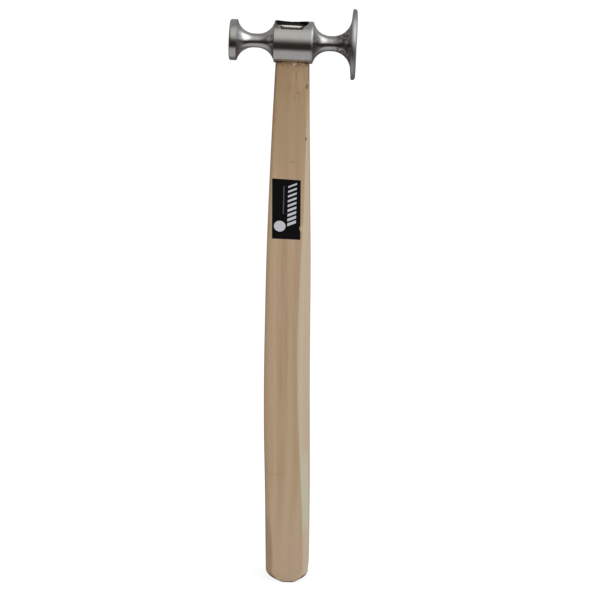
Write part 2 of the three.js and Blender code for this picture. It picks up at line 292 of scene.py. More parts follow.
class Shade:
    """One output of a material's nodes. A sum, product or the like of it adds a Math node."""

    def __init__(self, tree, link=None):
        self.tree = tree
        self.link = link

    def node(self, kind, settings=None, values=None, output=0):
        """Adds a node: its settings first, then the values or links of its sockets."""
        node = self.tree.nodes.new(kind)
        for name, setting in (settings or {}).items():
            if name == "stops":
                ramp = node.color_ramp.elements
                while len(ramp) < len(setting):
                    ramp.new(1)
                for stop, (place, colour) in zip(ramp, setting):
                    stop.position = place
                    stop.color = (*colour, 1)
            else:
                setattr(node, name, setting)
        for name, value in (values or {}).items():
            if isinstance(value, Shade):
                self.tree.links.new(value.link, node.inputs[name])
            elif isinstance(value, tuple) and node.inputs[name].type == "RGBA":
                node.inputs[name].default_value = (*value, 1)
            else:
                node.inputs[name].default_value = value
        return Shade(self.tree, node.outputs[output] if node.outputs else None)

    def reckon(self, operation, first, second=0.0, clamp=False):
        settings = {"operation": operation, "use_clamp": clamp}
        return self.node("ShaderNodeMath", settings, {0: first, 1: second})

    def __add__(self, other):
        return self.reckon("ADD", self, other)

    def __sub__(self, other):
        return self.reckon("SUBTRACT", self, other)

    def __rsub__(self, other):
        return self.reckon("SUBTRACT", other, self)

    def __mul__(self, other):
        return self.reckon("MULTIPLY", self, other)

    __radd__ = __add__
    __rmul__ = __mul__

    def between(self, low, high):
        """Rises smoothly from 0 at low to 1 at high."""
        return self.node("ShaderNodeMapRange", {"interpolation_type": "SMOOTHSTEP"}, {
            "Value": self, "From Min": low, "From Max": high,
        })

    def span(self, start, full, fading, end):
        """Rises from start to full and falls again from fading to end."""
        return self.between(start, full) * (1 - self.between(fading, end))

    def mix(self, other, factor):
        """This colour turning into the other one."""
        return self.mix_of(self, other, factor)

    def mix_of(self, first, second, factor):
        """A colour between two."""
        values = {"Factor": factor, 6: first, 7: second}
        return self.node("ShaderNodeMix", {"data_type": "RGBA"}, values, 2)

    def stretched(self, scale):
        """These coordinates, scaled along X, Y and Z."""
        return self.node("ShaderNodeVectorMath", {"operation": "MULTIPLY"}, {0: self, 1: scale})

    def grain(self, scale, detail=3.0, roughness=0.55):
        """Noise over these coordinates, from 0 to 1."""
        return self.node("ShaderNodeTexNoise", None, {
            "Vector": self, "Scale": scale, "Detail": detail, "Roughness": roughness,
        })

    def part(self, axis):
        """One of these coordinates: 0 for X, 1 for Y and 2 for Z."""
        return self.node("ShaderNodeSeparateXYZ", None, {0: self}, axis)

    def relief(self, height, strength, distance):
        """A Bump node over a height."""
        values = {"Height": height, "Strength": strength, "Distance": distance}
        return self.node("ShaderNodeBump", None, values)


def new_material(name):
    """A bare material, and the coordinates of the piece that wears it."""
    material = bpy.data.materials.new(name)
    material.use_nodes = True
    material.node_tree.nodes.clear()
    return material, Shade(material.node_tree).node("ShaderNodeTexCoord", output="Object")


def surface(material, values):
    """Closes a material with one Principled surface."""
    shader = Shade(material.node_tree).node("ShaderNodeBsdfPrincipled", None, values)
    shader.node("ShaderNodeOutputMaterial", None, {"Surface": shader})
    return material


def polished_steel():
    """Polished steel, ringed by the lathe, soiled by the eye and scaly behind the large face."""
    material, place = new_material("polished steel")
    down, depth, along = place.part(0), place.part(1), place.part(2)
    rings = place.stretched((0.02, 0.02, 1)).grain(3800, 2)
    swell = place.stretched((0.3, 0.3, 1)).grain(160, 2)
    cloud = place.grain(190, 5, 0.65)
    smear = place.stretched((1, 1, 0.3)).grain(520, 3)
    mottle = place.grain(420, 4, 0.6)
    # The back of the large face was left as forged, with dark scale and small pits.
    as_forged = along.span(23 * mm, 29 * mm, 34 * mm, 36 * mm)
    scale_skin = as_forged * mottle.between(0.38, 0.58)
    pits = as_forged * place.grain(1100, 3, 0.7).between(0.56, 0.68)
    # The top of the barrel is darkened at the left end of the eye, and soot sits in the eye itself.
    by_eye = along.span(-10.8 * mm, -10 * mm, -8.6 * mm, -6.8 * mm)
    eye_end_darkening = by_eye * (1 - down.between(-11.6 * mm, -9.4 * mm)) * (0.55 + mottle * 0.5)
    off_axis = place.reckon("SQRT", down * down + depth * depth)
    within_skin = 1 - off_axis.between(12.2 * mm, 12.42 * mm)
    in_eye = within_skin * (1 - place.reckon("ABSOLUTE", along).between(9.8 * mm, 10 * mm))
    # The barrel's right edge and the rim of the large face were filed, which leaves them rougher.
    filed_edge = along.span(11.3 * mm, 11.6 * mm, 12.7 * mm, 13.2 * mm)
    filed_rim = along.between(34.9 * mm, 35.3 * mm)
    # Painted shade in the corners behind the small rim and beside the barrel, which are rougher too.
    by_small_rim = along.span(-32.9 * mm, -32.6 * mm, -32.2 * mm, -28.8 * mm)
    by_barrel = along.span(12.7 * mm, 13 * mm, 13.6 * mm, 16 * mm)
    shaded_corners = by_small_rim + by_barrel * 0.55
    right_neck = along.span(13.5 * mm, 16 * mm, 25 * mm, 28 * mm)
    # Painted shade on the underside of the right neck.
    under_neck = right_neck * down.between(1.2 * mm, 3.2 * mm)
    film = cloud.between(0.4, 0.75) * 0.35 + (smear - 0.5) * 0.25
    bare = place.mix_of((0.52, 0.517, 0.508), (0.413, 0.409, 0.402), film)
    # Painted shade: the corners and the neck's underside are darkened, and the filed rim a little,
    # which dims its highlight.
    painted_shade = shaded_corners * 0.75 + under_neck * 0.85 + filed_rim * 0.24
    with_painted_shade = bare.mix((0.28, 0.285, 0.295), painted_shade)
    skinned = with_painted_shade.mix((0.09, 0.086, 0.078), scale_skin * 0.85)
    darkened = skinned.mix((0.07, 0.068, 0.066), eye_end_darkening * 0.86)
    sooted = darkened.mix((0.018, 0.017, 0.015), in_eye * 0.96)
    smooth_parts = 0.215 + cloud * 0.03 + smear * 0.05
    dirty_parts = scale_skin * 0.2 + eye_end_darkening * 0.15 + in_eye * 0.4
    coarse_parts = filed_edge * 0.18 + filed_rim * 0.3 + shaded_corners * 0.12
    height = rings * 0.5 + swell * 1.5 - pits * 2.5 - scale_skin * 0.6
    return surface(material, {
        "Base Color": sooted,
        "Metallic": 1.0,
        "Roughness": smooth_parts + dirty_parts + coarse_parts,
        "Anisotropic": 0.83,
        "Anisotropic Rotation": 0.25,
        "Normal": place.relief(height, 0.15, 0.03 * mm),
    })


# Its own upright axis lies along the lathe's axis, which is what the fine rings turn about.
on_its_side = Matrix.Translation((eye_x, 0, axis_z)) @ Matrix.Rotation(math.pi / 2, 4, "Y")
head = new_piece("turned_head", head_mesh(), polished_steel(), "head", on_its_side)


# Handle. One length of pale hardwood, sawn to a slight bow and sanded, with its long corners planed
# off, widely on the side of the large face. Its top is cut to an oval tenon that fills the eye, and
# a saw kerf down the tenon takes the wedge. It is bare, and the end of its tenon is coloured near
# black.
tenon_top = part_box("handle")[1].z
grip_half_width = 14 * mm
grip_half_depth = 11 * mm
corner_width = 7.5 * mm
eye_beyond_handle = 0.65 * mm
handle_bow = -eye_x - eye_beyond_handle
butt_crown = 8.2 * mm
butt_flat_drop = 0.12 * mm
butt_ease = 1 * mm
small_side_depth_share = 0.45
large_side_depth_share = 0.8
corner_rounding = 1.2 * mm
small_facet_rounding = 0.8 * mm
large_facet_rounding = 0.5 * mm
seat_gap = 0.15 * mm
tenon_clearance = 0.12 * mm
tenon_end_rounding = 0.35 * mm
tip_below_rim = 0.1 * mm
# The lip of fibres that the hammering spread over the front rim of the eye.
lip_front = 7.15 * mm
lip_left = -7.6 * mm
lip_right = 7.4 * mm
lip_raggedness = 0.55 * mm
back_lip_raggedness = 0.25 * mm
# From the butt up: height as a share of the axis height, the share of the bow, half the width and
# half the depth as shares of the grip's, and the shares of the corner width planed off each side.
station_shares = [
    (0.00, 0.000, 0.950, 0.97, 0.62, 0.42),
    (0.08, 0.107, 0.972, 0.99, 0.58, 0.47),
    (0.20, 0.313, 0.988, 1.00, 0.32, 0.65),
    (0.34, 0.577, 1.000, 1.00, 0.25, 0.90),
    (0.47, 0.729, 0.982, 0.98, 0.25, 0.94),
    (0.60, 0.825, 0.950, 0.94, 0.25, 0.78),
    (0.72, 0.925, 0.882, 0.88, 0.25, 0.43),
    (0.86, 0.990, 0.780, 0.79, 0.22, 0.20),
    (1.00, 1.000, 0.670, 0.68, 0.20, 0.15),
]


def handle_section(height):
    """Shares of the handle's section at a height, on a smooth curve through the stations."""
    place = min(1, max(0, height / axis_z))
    i = max(n for n in range(len(station_shares) - 1) if station_shares[n][0] <= place)

    def slope(n, k):
        before = station_shares[max(0, n - 1)]
        after = station_shares[min(len(station_shares) - 1, n + 1)]
        return (after[k] - before[k]) / (after[0] - before[0])

    low, high = station_shares[i], station_shares[i + 1]
    span = high[0] - low[0]
    t = (place - low[0]) / span
    return [
        (2 * t ** 3 - 3 * t ** 2 + 1) * low[k] + (t ** 3 - 2 * t ** 2 + t) * span * slope(i, k)
        + (3 * t ** 2 - 2 * t ** 3) * high[k] + (t ** 3 - t ** 2) * span * slope(i + 1, k)
        for k in range(1, 6)
    ]


def handle_ring(height, width_scale=1, depth_scale=1):
    """A closed ring of the handle, seen from above: a rectangle with its corners planed off."""
    bow, width, depth, small_corner, large_corner = handle_section(height)
    half_width, half_depth = width * grip_half_width, depth * grip_half_depth
    small, large = small_corner * corner_width, large_corner * corner_width
    small_depth, large_depth = small * small_side_depth_share, large * large_side_depth_share
    corners = [Vector(corner) for corner in (
        (-half_width + small, -half_depth), (half_width - large, -half_depth),
        (half_width, -half_depth + large_depth), (half_width, half_depth - large_depth),
        (half_width - large, half_depth), (-half_width + small, half_depth),
        (-half_width, half_depth - small_depth), (-half_width, -half_depth + small_depth),
    )]
    roundings = (small_facet_rounding, large_facet_rounding, corner_rounding, corner_rounding,
                 large_facet_rounding, small_facet_rounding, corner_rounding, corner_rounding)
    curve_steps, flat_steps = 6, (30, 8, 12, 8, 30, 8, 12, 8)
    reaches = [
        min(size, 0.4 * (corners[i - 1] - corner).length, 0.4 * (corners[(i + 1) % 8] - corner).length)
        for i, (corner, size) in enumerate(zip(corners, roundings))
    ]
    ring = []
    for i, corner in enumerate(corners):
        before, after = corners[i - 1], corners[(i + 1) % 8]
        start = corner + (before - corner).normalized() * reaches[i]
        end = corner + (after - corner).normalized() * reaches[i]
        for k in range(curve_steps + 1):
            t = k / curve_steps
            ring.append(start * (1 - t) ** 2 + corner * 2 * t * (1 - t) + end * t ** 2)
        far = after + (corner - after).normalized() * reaches[(i + 1) % 8]
        ring += [end + (far - end) * k / flat_steps[i] for k in range(1, flat_steps[i])]
    centre = -bow * handle_bow
    sanding_depth, sanding_scale = 0.07 * mm, 70
    worked = []
    for p in ring:
        uneven = noise.noise(Vector((p.x, p.y, height * 0.35)) * sanding_scale) * sanding_depth
        p = p + p.normalized() * uneven
        worked.append(Vector((centre + p.x * width_scale, p.y * depth_scale)))
    return worked


def seat_height(y):
    """Height of the saddle-shaped shoulder under the barrel."""
    reach = barrel_radius + seat_gap
    return axis_z - math.sqrt(max(0, reach * reach - y * y))


def splay_at(x, y):
    """How far the hammered tip of the tenon is spread over the rim of the eye, at a place there."""
    ragged = noise.noise(Vector((x * 1100, 3, 0))) + 0.6 * noise.noise(Vector((x * 2600, 7, 0)))
    if y > 0:
        return max(0, ragged * back_lip_raggedness) * min(1, y / (4 * mm))
    reach = lip_front + ragged * lip_raggedness
    from_left = min(1, max(0, (x - lip_left) / (1.4 * mm)))
    from_right = min(1, max(0, (lip_right - x) / (1 * mm)))
    return max(0, reach + y) * from_left * from_right


def tenon_at(height, turn):
    """Place of the tenon's side at a height over the axis, seen from above."""
    x, y = eye_at(height, turn)
    return Vector((eye_x + x - tenon_clearance * math.cos(turn), y - tenon_clearance * math.sin(turn)))


def handle_mesh():
    mesh = bmesh.new()
    rows = []
    flat_angle = math.acos(1 - butt_flat_drop / butt_crown)
    butt_steps = 22
    for i in range(butt_steps):
        angle = flat_angle + (math.pi / 2 - flat_angle) * i / butt_steps
        height = butt_crown * (1 - math.cos(angle)) - butt_flat_drop
        left = max(0, 1 - height / butt_ease)
        eased = butt_ease * (1 - math.sqrt(1 - left * left)) / grip_half_depth
        ring = handle_ring(height, math.sin(angle), 1 - eased)
        rows.append([mesh.verts.new((p.x, p.y, height)) for p in ring])
    first = butt_crown - butt_flat_drop
    last = axis_z - barrel_radius - 3 * mm
    rise_steps = 220
    for i in range(rise_steps + 1):
        height = first + (last - first) * i / rise_steps
        rows.append([mesh.verts.new((p.x, p.y, height)) for p in handle_ring(height)])
    shoulder_steps = 14
    for i in range(1, shoulder_steps + 1):
        share = i / shoulder_steps
        ring = handle_ring(last + (axis_z - barrel_radius - last) * share)
        rows.append([
            mesh.verts.new((p.x, p.y, last + (seat_height(p.y) - last) * share)) for p in ring
        ])
    outer = [v.co.copy() for v in rows[-1]]
    turns = [math.atan2(p.y / eye_half_width, (p.x - eye_x) / eye_half_length) for p in outer]
    for share in (0.25, 0.5, 0.75, 1):
        row = []
        for turn, point in zip(turns, outer):
            flat = point.xy.lerp(tenon_at(barrel_radius, turn), share)
            row.append(mesh.verts.new((flat.x, flat.y, seat_height(flat.y))))
        rows.append(row)
    tenon_steps = 20
    tips = []
    for turn in turns:
        edge = Vector(eye_at(barrel_radius, turn))
        splay = splay_at(edge.x, edge.y)
        up = min(1, splay / (0.3 * mm))
        away = Vector((0, math.copysign(1, edge.y)))
        tips.append((turn, edge, away, splay, up))
    for i in range(1, tenon_steps + 1):
        row = []
        for (turn, edge, away, splay, up), below in zip(tips, rows[-i]):
            base = below.co.z
            rim = axis_z + math.sqrt(barrel_radius ** 2 - edge.y ** 2) - tip_below_rim
            level = tenon_top - tenon_end_rounding
            tip = level + (rim - level) * up
            height = base + (tip - base) * i / tenon_steps
            flat = tenon_at(min(barrel_radius, height - axis_z), turn)
            row.append(mesh.verts.new((flat.x, flat.y, height)))
        rows.append(row)
    # Round the tip: its share of the splay, how far in from the rim, how high over the steel where
    # it is splayed, and how far below the end grain's level where it isn't.
    for share, inward, lift, sunk in (
        (1, 0.12, 0.05, 0.22), (1.1, 0.12, 0.16, 0.1), (0.9, 0.14, 0.3, 0),
        (0, 0.35, 0.36, 0), (0, 1.4, 0, 0),
    ):
        row = []
        for turn, edge, away, splay, up in tips:
            flat = edge + away * splay * share * up - edge.normalized() * inward * mm
            fibre = noise.noise(Vector((flat.x * 1500, flat.y * 300, share))) * 0.12 * mm
            steel_y = max(abs(flat.y), abs(edge.y))
            on_steel = axis_z + math.sqrt(barrel_radius ** 2 - steel_y ** 2)
            level = tenon_top - sunk * mm
            raised = on_steel + lift * mm + fibre if lift else tenon_top + fibre
            row.append(mesh.verts.new((eye_x + flat.x, flat.y, level + (raised - level) * up)))
        rows.append(row)
    skin(mesh, rows, True)
    for row in (rows[0], rows[-1]):
        middle = sum((v.co for v in row), Vector()) / len(row)
        inner_rows = [row]
        for share in (0.15, 0.4, 0.7):
            inner_rows.append([mesh.verts.new(v.co.lerp(middle, share)) for v in row])
        skin(mesh, inner_rows, True)
        centre = mesh.verts.new(middle)
        last_row = inner_rows[-1]
        for i in range(len(last_row)):
            mesh.faces.new((last_row[i], last_row[(i + 1) % len(last_row)], centre))
    bmesh.ops.recalc_face_normals(mesh, faces=mesh.faces)
    return mesh


def bare_hardwood():
    """Pale straight-grained wood, darker towards the head; its planed corner is paler, partly painted
    sheen.
    """
    material, place = new_material("bare hardwood")
    aside, depth, height = place.part(0), place.part(1), place.part(2)
    normal = place.node("ShaderNodeNewGeometry", output="Normal")
    facing_side, facing_up = normal.part(0), normal.part(2)
    # The grain follows the bow: bent is the distance aside from the bowed middle line.
    to_go = 1 - height * (1 / axis_z)
    bent = aside + (1 - to_go * to_go) * handle_bow
    grown = place.node("ShaderNodeCombineXYZ", None, {0: bent, 1: depth, 2: height})
    on_front = 1 - depth.between(-6 * mm, -2 * mm)

    def mark(bent_at, height_at, half_width, half_height, soft=0.5):
        """A spot on the front of the wood, soft at its edge."""
        u = (bent - bent_at * mm) * (1 / (half_width * mm))
        v = (height - height_at * mm) * (1 / (half_height * mm))
        return on_front * (1 - (u * u + v * v).between(1 - soft, 1 + soft))

    def marks(*spots):
        """Several spots together: where each is, its half size, and how strong it is."""
        return sum(mark(*spot) * strength for *spot, strength in spots)

    drift = grown.stretched((1, 1, 0.3)).grain(38, 2)
    bands = grown.stretched((1, 1, 0.03)).grain(150, 2)
    streaks = grown.stretched((1, 1, 0.016)).grain(480, 3)
    fibres = grown.stretched((1, 1, 0.025)).grain(2400, 2)
    pores = grown.stretched((1, 1, 0.03)).grain(5200, 1).between(0.66, 0.78)
    stripe_width = 8.25 * mm
    waver = (drift - 0.5) * 2 * mm
    by_butt = 1 - height.between(0.02, 0.09)
    stripe_at = bent - 1.4 * mm + waver + by_butt * 3.6 * mm
    stripes = place.reckon("COSINE", stripe_at * (2 * math.pi / stripe_width))
    figure = 0.85 + height.between(0.09, 0.21) * 0.85 - height.between(0.24, 0.28) * 0.4
    fine = ((streaks - 0.5) * 0.55 + (fibres - 0.5) * 0.35) * figure
    tone = 0.5 + stripes * 0.095 + (bands - 0.5) * 0.7 + fine
    colour = place.node("ShaderNodeValToRGB", {"stops": [
        (0.2, (0.35, 0.236, 0.138)), (0.5, (0.413, 0.287, 0.175)), (0.8, (0.475, 0.343, 0.222)),
    ]}, {"Fac": tone})
    rosy = colour.mix((0.42, 0.277, 0.185), drift.between(0.45, 0.7) * 0.6)
    straw = rosy.mix((0.43, 0.315, 0.185), (1 - drift.between(0.25, 0.48)) * 0.5)
    top_tan = height.between(0.25, 0.355)
    faded = straw.mix((0.46, 0.35, 0.235), by_butt * 0.5)
    to_right = bent.between(-12 * mm, 8 * mm)
    tanned = faded.mix((0.32, 0.205, 0.107), top_tan * (0.95 - to_right * 0.45))
    # The planed corner facing the window is paler, partly from planing and partly a painted sheen.
    planed = facing_side.span(0.35, 0.5, 0.75, 0.95) * (1 - height.between(0.307, 0.319) * 0.9)
    olive = tanned.mix((0.36, 0.275, 0.155), height.span(0.27, 0.3, 0.32, 0.335) * 0.3)
    pale = olive.mix((0.42, 0.37, 0.285), planed * 0.6)
    greyed = planed * height.span(0.03, 0.05, 0.08, 0.1)
    weathered = pale.mix((0.42, 0.43, 0.31), greyed * 0.6)
    # Painted shade on the corners that face left, away from the window, most of all near the head.
    facing_left = 1 - facing_side.between(-0.6, -0.2)
    left_corner = facing_left * (0.25 + facing_side.between(-0.99, -0.93) * 0.75)
    handling_and_shade = left_corner * (0.22 + top_tan * 0.32 + height.between(0.32, 0.34) * 0.35)
    shaded_left_corner = weathered.mix((0.17, 0.115, 0.08), handling_and_shade)
    # Marks of its own, in millimetres: brown and orange stains, dirt at the seat with painted shade
    # there, crushed and chipped places, pale streaks, small dents gone dark, and a scratch across.
    blotch = grown.grain(420, 3, 0.6)
    butt_stain = mark(-12.4, 21, 3.4, 24, 0.7) * (0.45 + blotch * 0.5)
    stained = shaded_left_corner.mix((0.25, 0.145, 0.08), butt_stain * 0.7)
    orange = mark(-10.2, 317, 2, 7) * blotch.between(0.3, 0.55)
    rusty = stained.mix((0.33, 0.17, 0.075), orange * 0.6)
    # Stain and painted shade along the seat under the head.
    seat_stain_and_shade = height.between(0.3455, 0.3495) * blotch.between(0.4, 0.6)
    seated = rusty.mix((0.15, 0.078, 0.036), seat_stain_and_shade * 0.75)
    seat_dirt_and_shade = marks(
        (-8, 349.8, 2.4, 1, 0.8), (7.9, 349.9, 2.5, 1, 0.8), (0, 348.8, 0.6, 0.5, 0.8),
    )
    darkened = seated.mix((0.06, 0.04, 0.022), seat_dirt_and_shade * blotch.between(0.3, 0.5))
    crushed = marks(
        (1.3, 348.6, 1.1, 0.55, 0.9), (-2.5, 348.2, 1.6, 0.25, 0.35), (8.1, 244.7, 0.7, 2, 0.7),
    )
    chips = mark(10, 6, 2.6, 3.4) * grown.grain(1500, 2).between(0.5, 0.56)
    bruised = darkened.mix((0.56, 0.45, 0.33), place.reckon("ADD", crushed, chips, clamp=True) * 0.6)
    sheen_streaks = marks(
        (1.2, 339.5, 0.7, 4.5, 0.5), (5.3, 338, 1.8, 6.5, 0.6), (6.5, 325.4, 0.5, 1.6, 0.5),
        (1.6, 181, 0.6, 17, 0.3), (-0.6, 130, 1.7, 32, 0.22),
    )
    streaked = bruised.mix((0.43, 0.325, 0.21), sheen_streaks * 0.6)
    dents = marks(
        (9.2, 335, 0.5, 1.5, 1.25), (9.5, 302.2, 0.6, 1.2, 0.8), (2.1, 287.3, 0.7, 0.6, 0.45),
        (2.7, 341.2, 0.3, 2.6, 0.4), (-1.4, 333.8, 0.9, 1.1, 0.25), (4.1, 330.6, 1, 0.6, 0.35),
        (2.4, 327.7, 0.45, 1.6, 0.25), (5.2, 327, 0.35, 2, 0.2), (-2.2, 326, 0.4, 2.2, 0.15),
        (3.5, 208, 0.4, 11, 0.08), (5.8, 205, 0.3, 8, 0.06), (2.6, 176, 0.3, 7, 0.06),
    )
    scratch = mark(-6.5, 77.8, 6.5, 0.55) * streaks.between(0.3, 0.6)
    dark_marks = place.reckon("ADD", dents, scratch * 0.2, clamp=True)
    marked = streaked.mix((0.1, 0.062, 0.035), dark_marks * 0.8)
    # The butt's end grain is darker, with painted shade where it faces down, and a dark line runs
    # along the rim above its crowned edge.
    end_grain_and_underside_shade = 1 - facing_up.between(-0.45, -0.08)
    low = 1 - height.between(7 * mm, 10 * mm)
    out = aside * (1 / grip_half_width)
    rim_height = (1 - place.reckon("SQRT", 1 - out * out)) * butt_crown
    dark_rim_line = 1 - (height - rim_height).between(0.6 * mm, 1.7 * mm)
    butt_darkening = place.reckon("ADD", end_grain_and_underside_shade * low * 0.9, dark_rim_line * 0.7, clamp=True)
    ends = marked.mix((0.085, 0.062, 0.042), butt_darkening)
    dark_pores = ends.mix((0.2, 0.13, 0.08), pores * 0.35)
    # The end of the tenon, coloured near black, with browner fibres along its front edge.
    tip = height.between(axis_z + 3 * mm, axis_z + 5 * mm)
    front_edge = 1 - depth.between(-3.2 * mm, -1.6 * mm)
    year_rings = grown.stretched((0.25, 1, 0.2)).grain(2600, 2).between(0.45, 0.7)
    brown_fibres = front_edge * grown.stretched((1, 0.3, 0.3)).grain(1600, 2).between(0.3, 0.6)
    ringed = place.mix_of((0.005, 0.004, 0.0035), (0.016, 0.013, 0.009), year_rings)
    black = ringed.mix((0.06, 0.05, 0.028), brown_fibres)
    relief = fibres * 0.5 + streaks * 0.6 - pores * 0.8 - dents * 4 - scratch * 0.8
    return surface(material, {
        "Base Color": dark_pores.mix(black, tip),
        "Roughness": 0.56 + streaks * 0.1 + tip * 0.2,
        "Specular IOR Level": 0.25,
        "Normal": place.relief(relief, 0.25, 0.04 * mm),
    })


handle = new_piece("wooden_handle", handle_mesh(), bare_hardwood(), "handle")


# Wedge. A flat taper of mild steel, driven into the kerf, that stands a little proud of the end
# grain. Its top is bright from the blows that drove it in.
wedge_tip_half_thickness = 0.25 * mm
wedge_end_share = 0.85
wedge_edge_rounding = 0.3 * mm
wedge_top_crown = 0.1 * mm
struck_depth = 0.12 * mm
struck_reach = 0.5 * mm
wedge_skew = 0.25 * mm


def wedge_mesh():
    """The wedge, thicker in the middle of its length, its struck end a little uneven."""
    mesh = bmesh.new()
    length_steps, across_steps, down_steps = 48, 10, 12
    half_length = (wedge_high.x - wedge_low.x) / 2
    half_top = (wedge_high.y - wedge_low.y) / 2
    middle_x = (wedge_high.x + wedge_low.x) / 2
    rounded_from = wedge_high.z - wedge_edge_rounding
    rows = []
    for i in range(length_steps + 1):
        along = 2 * i / length_steps - 1
        bulge = math.sqrt(max(0, 1 - along * along))
        half = half_top * (wedge_end_share + (1 - wedge_end_share) * bulge)
        side = []
        for k in range(down_steps + 1):
            share = k / down_steps
            side.append((
                wedge_tip_half_thickness + (half - wedge_tip_half_thickness) * share,
                wedge_low.z + (rounded_from - wedge_low.z) * share,
            ))
        for k in range(1, across_steps + 1):
            bend = math.pi / 2 * k / across_steps
            inset = wedge_edge_rounding * (1 - math.cos(bend))
            side.append((half - inset, rounded_from + wedge_edge_rounding * math.sin(bend)))
        x = middle_x + along * half_length
        made = []
        for y, z in side + [(-y, z) for y, z in side[::-1]]:
            share = (z - wedge_low.z) / (wedge_high.z - wedge_low.z)
            askew = wedge_skew * (1 + along) * share
            struck = 0
            if z > wedge_high.z - struck_reach:
                struck = noise.noise(Vector((x, y, 0)) * 900) * struck_depth
            top = min(wedge_high.z, z - wedge_top_crown * abs(along) + struck)
            made.append(mesh.verts.new((x, y - askew, top)))
        rows.append(made)
    skin(mesh, rows, True)
    for row in (rows[0], rows[-1]):
        mesh.faces.new(row)
    bmesh.ops.recalc_face_normals(mesh, faces=mesh.faces)
    return mesh


def struck_steel():
    """Mild steel, bright and dented where it was struck."""
    material, place = new_material("struck steel")
    dents = place.grain(900, 3, 0.6)
    scuffs = place.stretched((0.3, 1, 1)).grain(2600, 2)
    bright = place.mix_of((0.86, 0.855, 0.82), (0.6, 0.59, 0.55), dents.between(0.5, 0.75))
    return surface(material, {
        "Base Color": bright,
        "Metallic": 0.45,
        "Roughness": 0.4 + scuffs * 0.2,
        "Normal": place.relief(dents + scuffs * 0.3, 0.3, 0.1 * mm),
    })


wedge = new_piece("driven_wedge", wedge_mesh(), struck_steel(), "wedge")


# Label. A sticker of black film with a plain motif in pale grey ink. It is glued to the flat
# front of the handle and follows the wood.
label_low, label_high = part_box("label")
label_width = 17.1 * mm
label_thickness = 0.1 * mm
label_over_wood = 0.02 * mm
label_to_left = 0.2 * mm
label_tilt = math.tan(math.radians(1.2))
label_out_of_square = 0.5 * mm
label_raggedness = 0.06 * mm
nick_height = 7.4 * mm
nick_reach = 1.7 * mm
nick_depth = 0.6 * mm


def label_mesh():
    """A thin sheet that lies along the wood, with a nick in its right edge."""
    mesh = bmesh.new()
    middle = (label_low.x + label_high.x) / 2 - label_to_left
    middle_z = (label_low.z + label_high.z) / 2
    across_steps, rise_steps = 24, 90
    rims = []
    for over_wood in (label_over_wood, label_over_wood + label_thickness):
        rows = []
        for i in range(rise_steps + 1):
            z = label_low.z + (label_high.z - label_low.z) * i / rise_steps
            y = -handle_section(z)[2] * grip_half_depth - over_wood
            centre = middle - label_tilt * (z - middle_z)
            away = abs(z - label_low.z - nick_height) / nick_reach
            bite = nick_depth * max(0, 1 - away * away)
            left = centre - label_width / 2
            left += noise.noise(Vector((0, 0, z * 900))) * label_raggedness
            right = centre + label_width / 2 - bite
            right += noise.noise(Vector((9, 0, z * 900))) * label_raggedness
            row = []
            for k in range(across_steps + 1):
                share = k / across_steps
                drop = label_out_of_square * (share - 0.5) * i / rise_steps
                row.append(mesh.verts.new((left + (right - left) * share, y, z - drop)))
            rows.append(row)
        skin(mesh, rows, False)
        rims.append(
            rows[0] + [row[-1] for row in rows[1:]]
            + rows[-1][-2::-1] + [row[0] for row in rows[-2:0:-1]]
        )
    skin(mesh, rims, True)
    bmesh.ops.recalc_face_normals(mesh, faces=mesh.faces)
    return mesh


def black_film():
    """Black film printed in pale grey: a disc, a row of slanted strokes and a thin dim line."""
    material, place = new_material("black film")
    across = place.part(0) - (label_low.x + label_high.x) / 2
    rise = place.part(2) - (label_low.z + label_high.z) / 2
    soft_edge = 0.06 * mm

    def inside(value, half):
        size = place.reckon("ABSOLUTE", value)
        return 1 - size.between(half - soft_edge, half + soft_edge)

    def stroke(across_at, rise_at, half_width, half_rise, slant=0.0):
        """A stroke of the print, in millimetres from the middle of the film."""
        u = across - across_at * mm
        v = rise - rise_at * mm
        return inside(u, half_width * mm) * inside(v - u * slant, half_rise * mm)

    disc_across, disc_rise, disc_radius = -3.9 * mm, -11 * mm, 3.5 * mm
    u, v = across - disc_across, rise - disc_rise
    disc = inside(place.reckon("SQRT", u * u + v * v), disc_radius)
    strokes = sum(stroke(3.2, -8.8 + 3.05 * i, 2.6, 0.95 - 0.05 * i, 0.45) for i in range(9))
    printed = disc + strokes + stroke(-1.9, 6, 0.3, 9) * 0.16
    worn = place.grain(2600, 3).between(0.24, 0.4)
    ink = place.mix_of((0.003, 0.003, 0.0035), (0.52, 0.51, 0.54), printed * worn)
    handling_and_shade = place.grain(300, 3)
    return surface(material, {
        "Base Color": ink,
        "Roughness": 0.3 + handling_and_shade * 0.2,
        "Specular IOR Level": 0.12,
        "Normal": place.relief(place.grain(1800, 2), 0.1, 0.02 * mm),
    })


label = new_piece("black_label", label_mesh(), black_film(), "label")


# Studio. A white floor and white surroundings, a large soft window on the right, and a smoked
# screen round the table. Only the steel shows the screen, as greys and dark bands.
def white_rays(nodes):
    """1 for the rays that show plain white: from the camera, mirrored, or seen through glass."""
    camera_ray = nodes.node("ShaderNodeLightPath", output="Is Camera Ray")
    glossy_ray = nodes.node("ShaderNodeLightPath", output="Is Glossy Ray")
    clear_ray = nodes.node("ShaderNodeLightPath", output="Is Transmission Ray")
    return nodes.reckon("ADD", camera_ray + glossy_ray, clear_ray, clamp=True)


